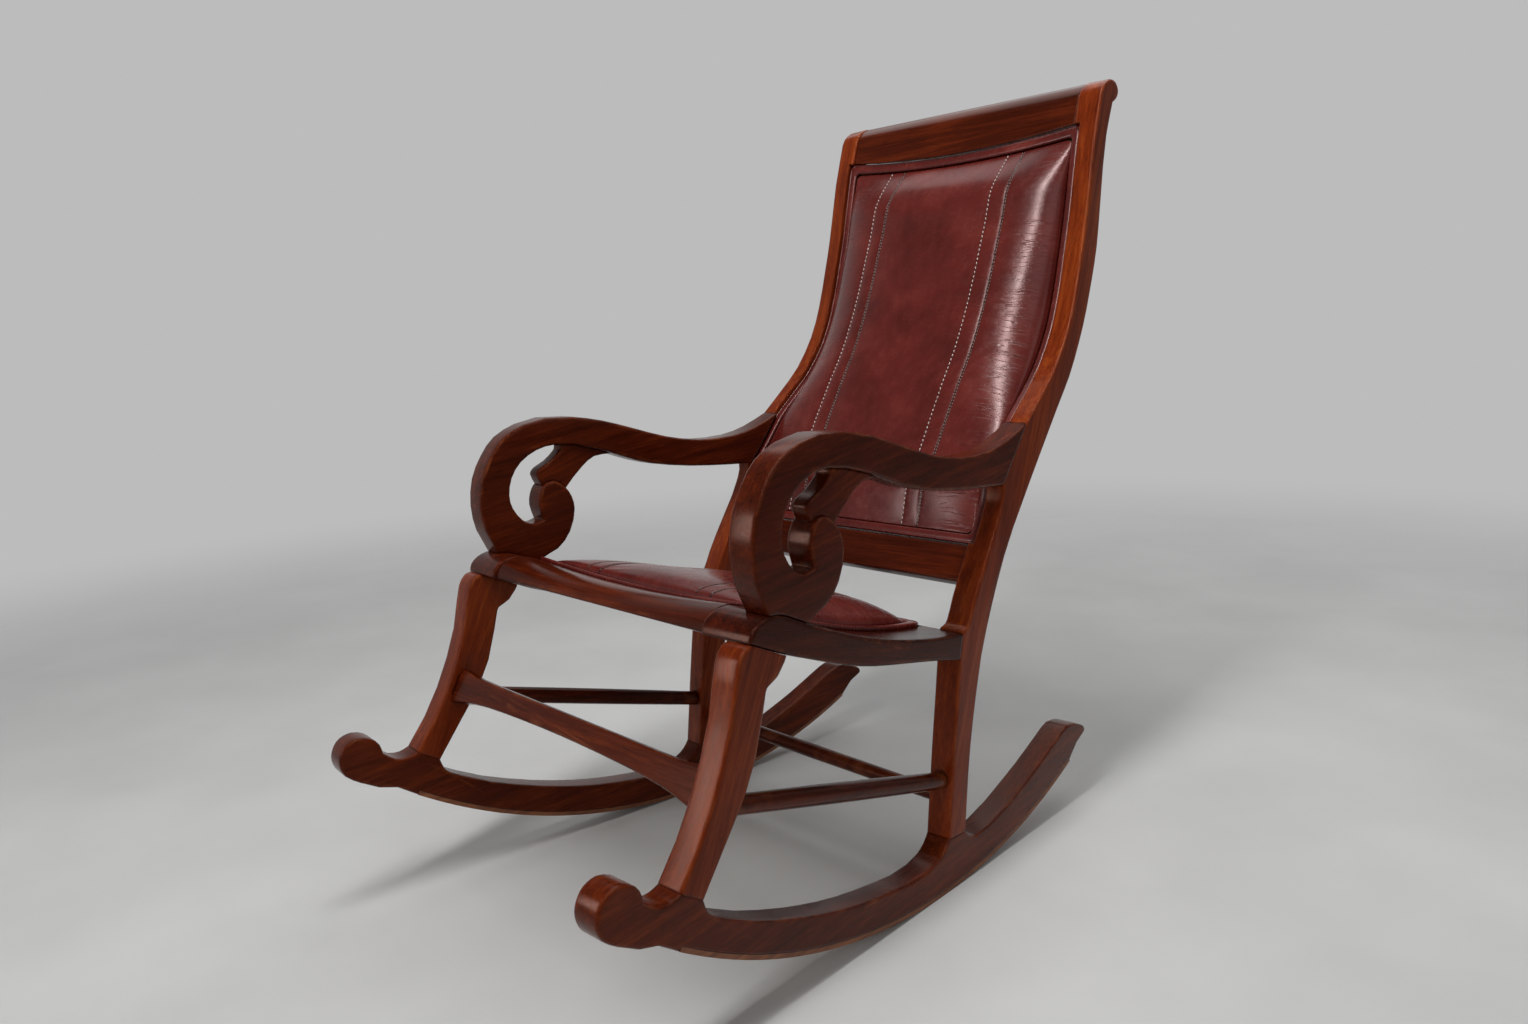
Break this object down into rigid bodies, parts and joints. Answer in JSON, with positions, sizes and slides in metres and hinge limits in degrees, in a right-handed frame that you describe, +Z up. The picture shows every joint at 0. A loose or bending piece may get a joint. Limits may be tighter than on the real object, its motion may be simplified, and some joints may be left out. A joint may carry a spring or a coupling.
{
  "type": "rocking chair",
  "caption": "Rocking chair in dark lacquered wood with scroll arms, curved rockers and a leather-padded seat and tall S-shaped back.",
  "frame": {"origin": "middle of the footprint on the floor, at the bottom centre of the bounding box", "axes": "+Z up, the sitter faces -Y, the sitter's left is +X"},
  "size_m": [0.6034, 1.0198, 1.048],
  "materials": {
    "mahogany": "gloss",
    "strip_wood": "satin",
    "leather": "satin",
    "plywood": "matte",
    "beech": "matte",
    "foam": "matte",
    "webbing": "matte",
    "lining": "matte"
  },
  "bodies": {
    "root": {"rocker_left": "mahogany", "rocker_right": "mahogany", "front_leg_left": "mahogany", "front_leg_right": "mahogany", "rear_post_left": "mahogany", "rear_post_right": "mahogany", "arm_left": "mahogany", "arm_right": "mahogany", "arm_brace_left": "mahogany", "arm_brace_right": "mahogany", "seat_side_rail_left": "mahogany", "seat_side_rail_right": "mahogany", "side_stretcher_left": "mahogany", "side_stretcher_right": "mahogany", "crest_rail": "mahogany", "lower_back_rail": "mahogany", "seat_front_rail": "mahogany", "seat_rear_rail": "mahogany", "front_stretcher": "mahogany", "rear_stretcher": "mahogany", "rocker_tread_left": "strip_wood", "rocker_tread_right": "strip_wood", "seat_pad": "leather", "seat_welt": "leather", "back_pad": "leather", "back_welt": "leather", "seat_panel": "plywood", "seat_foam": "foam", "back_foam": "foam", "back_webbing": "webbing", "back_lining": "lining", "corner_block_front_left": "beech", "corner_block_front_right": "beech", "corner_block_back_left": "beech", "corner_block_back_right": "beech", "leg_dowel_1_left": "beech", "leg_dowel_1_right": "beech", "leg_dowel_2_left": "beech", "leg_dowel_2_right": "beech", "post_dowel_1_left": "beech", "post_dowel_1_right": "beech", "post_dowel_2_left": "beech", "post_dowel_2_right": "beech", "arm_dowel_1_left": "beech", "arm_dowel_1_right": "beech", "arm_dowel_2_left": "beech", "arm_dowel_2_right": "beech", "crest_dowel_1_left": "beech", "crest_dowel_1_right": "beech", "crest_dowel_2_left": "beech", "crest_dowel_2_right": "beech", "leg_top_dowel_left": "beech", "leg_top_dowel_right": "beech", "arm_foot_dowel_left": "beech", "arm_foot_dowel_right": "beech", "post_rail_dowel_left": "beech", "post_rail_dowel_right": "beech", "front_rail_dowel_left": "beech", "front_rail_dowel_right": "beech"}
  },
  "joints": []
}
